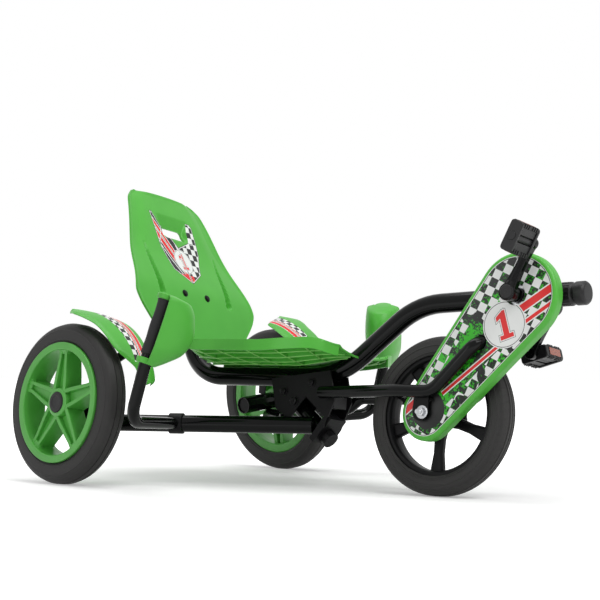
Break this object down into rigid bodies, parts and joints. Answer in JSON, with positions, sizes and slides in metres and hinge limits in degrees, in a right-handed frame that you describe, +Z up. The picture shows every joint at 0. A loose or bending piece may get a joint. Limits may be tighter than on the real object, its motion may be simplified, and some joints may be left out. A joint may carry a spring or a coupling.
{
  "type": "pedal go kart",
  "caption": "Child's three wheeled pedal go kart with a low bucket seat, front wheel chain drive and rear steering by two hand levers that lean it into turns.",
  "frame": {"origin": "on the floor, under the middle of the kart's bounding box", "axes": "+X forward, +Y to the rider's left, +Z up"},
  "size_m": [1.2022, 0.7632, 0.6501],
  "materials": {
    "green_plastic": "moulded green plastic with a satin sheen",
    "black_plastic": "moulded black plastic",
    "black_paint": "gloss black powder coat on steel",
    "bright_steel": "zinc plated steel",
    "tyre": "matt black tyre rubber",
    "rubber": "soft black rubber"
  },
  "bodies": {
    "front_frame": {"main_tube": "black_paint", "nose_cap": "black_plastic", "seat_post_plug": "black_plastic", "fork_tube_right": "black_paint", "fork_tube_left": "black_paint", "dropout_right": "black_paint", "dropout_left": "black_paint", "front_axle": "bright_steel", "axle_nut_right": "bright_steel", "axle_nut_left": "bright_steel", "bracket_plate_right": "black_paint", "bracket_plate_left": "black_paint", "steering_yoke": "black_paint", "steering_bolt": "bright_steel", "rubber_bumper": "rubber", "seat_back": "green_plastic", "seat_bracket": "black_paint", "seat_pan": "green_plastic", "chain_guard": "green_plastic", "chain_guard_back": "black_plastic", "chain": "bright_steel"},
    "front_wheel": {"front_tyre": "tyre", "front_inner_tube": "rubber", "front_rim": "black_plastic", "hub_sprocket": "bright_steel"},
    "crank": {"crank_spindle": "bright_steel", "crank_arm_right": "black_paint", "crank_arm_left": "black_paint", "chainring": "bright_steel", "pedal_pin_right": "bright_steel", "pedal_pin_left": "bright_steel"},
    "pedal_right_body": {"pedal_right": "black_plastic"},
    "pedal_left_body": {"pedal_left": "black_plastic"},
    "rear_frame": {"steering_sleeve": "black_paint", "rear_tube_right": "black_paint", "rear_tube_left": "black_paint", "stub_axle_right": "black_paint", "stub_axle_left": "black_paint", "wheel_spindle_right": "bright_steel", "wheel_spindle_left": "bright_steel", "lever_clamp_right": "black_paint", "lever_clamp_left": "black_paint", "steering_lever_right": "black_paint", "steering_lever_left": "black_paint", "grip_right": "rubber", "grip_left": "rubber", "hand_guard_right": "green_plastic", "hand_guard_left": "green_plastic", "mudguard_right": "green_plastic", "mudguard_left": "green_plastic", "mudguard_stay_right": "black_paint", "mudguard_stay_left": "black_paint"},
    "rear_wheel_right": {"rear_tyre_right": "tyre", "rear_inner_tube_right": "rubber", "rear_rim_right": "green_plastic", "hub_cap_right": "black_plastic"},
    "rear_wheel_left": {"rear_tyre_left": "tyre", "rear_inner_tube_left": "rubber", "rear_rim_left": "green_plastic", "hub_cap_left": "black_plastic"}
  },
  "joints": [
    {"name": "steering", "type": "hinge", "parent": "front_frame", "child": "rear_frame", "pos_m": [-0.02723, 0, 0.148], "axis": [-0.788, 0, 0.6157], "range_deg": [-15.44, 34.56]},
    {"name": "front_wheel_spin", "type": "hinge", "parent": "front_frame", "child": "front_wheel", "pos_m": [0.29599, 0.03466, 0.15664], "axis": [-0.1022, 0.9861, -0.1309], "continuous": true},
    {"name": "crank_spin", "type": "hinge", "parent": "front_frame", "child": "crank", "pos_m": [0.47946, 0.08379, 0.38348], "axis": [-0.1022, 0.9861, -0.1309], "continuous": true},
    {"name": "pedal_right_spin", "type": "hinge", "parent": "crank", "child": "pedal_right_body", "pos_m": [0.5213, 0.10013, 0.47394], "axis": [-0.1022, 0.9861, -0.1309], "continuous": true},
    {"name": "pedal_left_spin", "type": "hinge", "parent": "crank", "child": "pedal_left_body", "pos_m": [0.43762, 0.06745, 0.29302], "axis": [-0.1022, 0.9861, -0.1309], "continuous": true},
    {"name": "rear_wheel_right_spin", "type": "hinge", "parent": "rear_frame", "child": "rear_wheel_right", "pos_m": [-0.42963, -0.32415, 0.17044], "axis": [0, 0.9938, -0.1109], "continuous": true},
    {"name": "rear_wheel_left_spin", "type": "hinge", "parent": "rear_frame", "child": "rear_wheel_left", "pos_m": [-0.42963, 0.32415, 0.17044], "axis": [0, 0.9938, 0.1109], "continuous": true}
  ],
  "couplings": [
    {"joint": "crank_spin", "follows": "front_wheel_spin", "ratio": 0.64286}
  ]
}
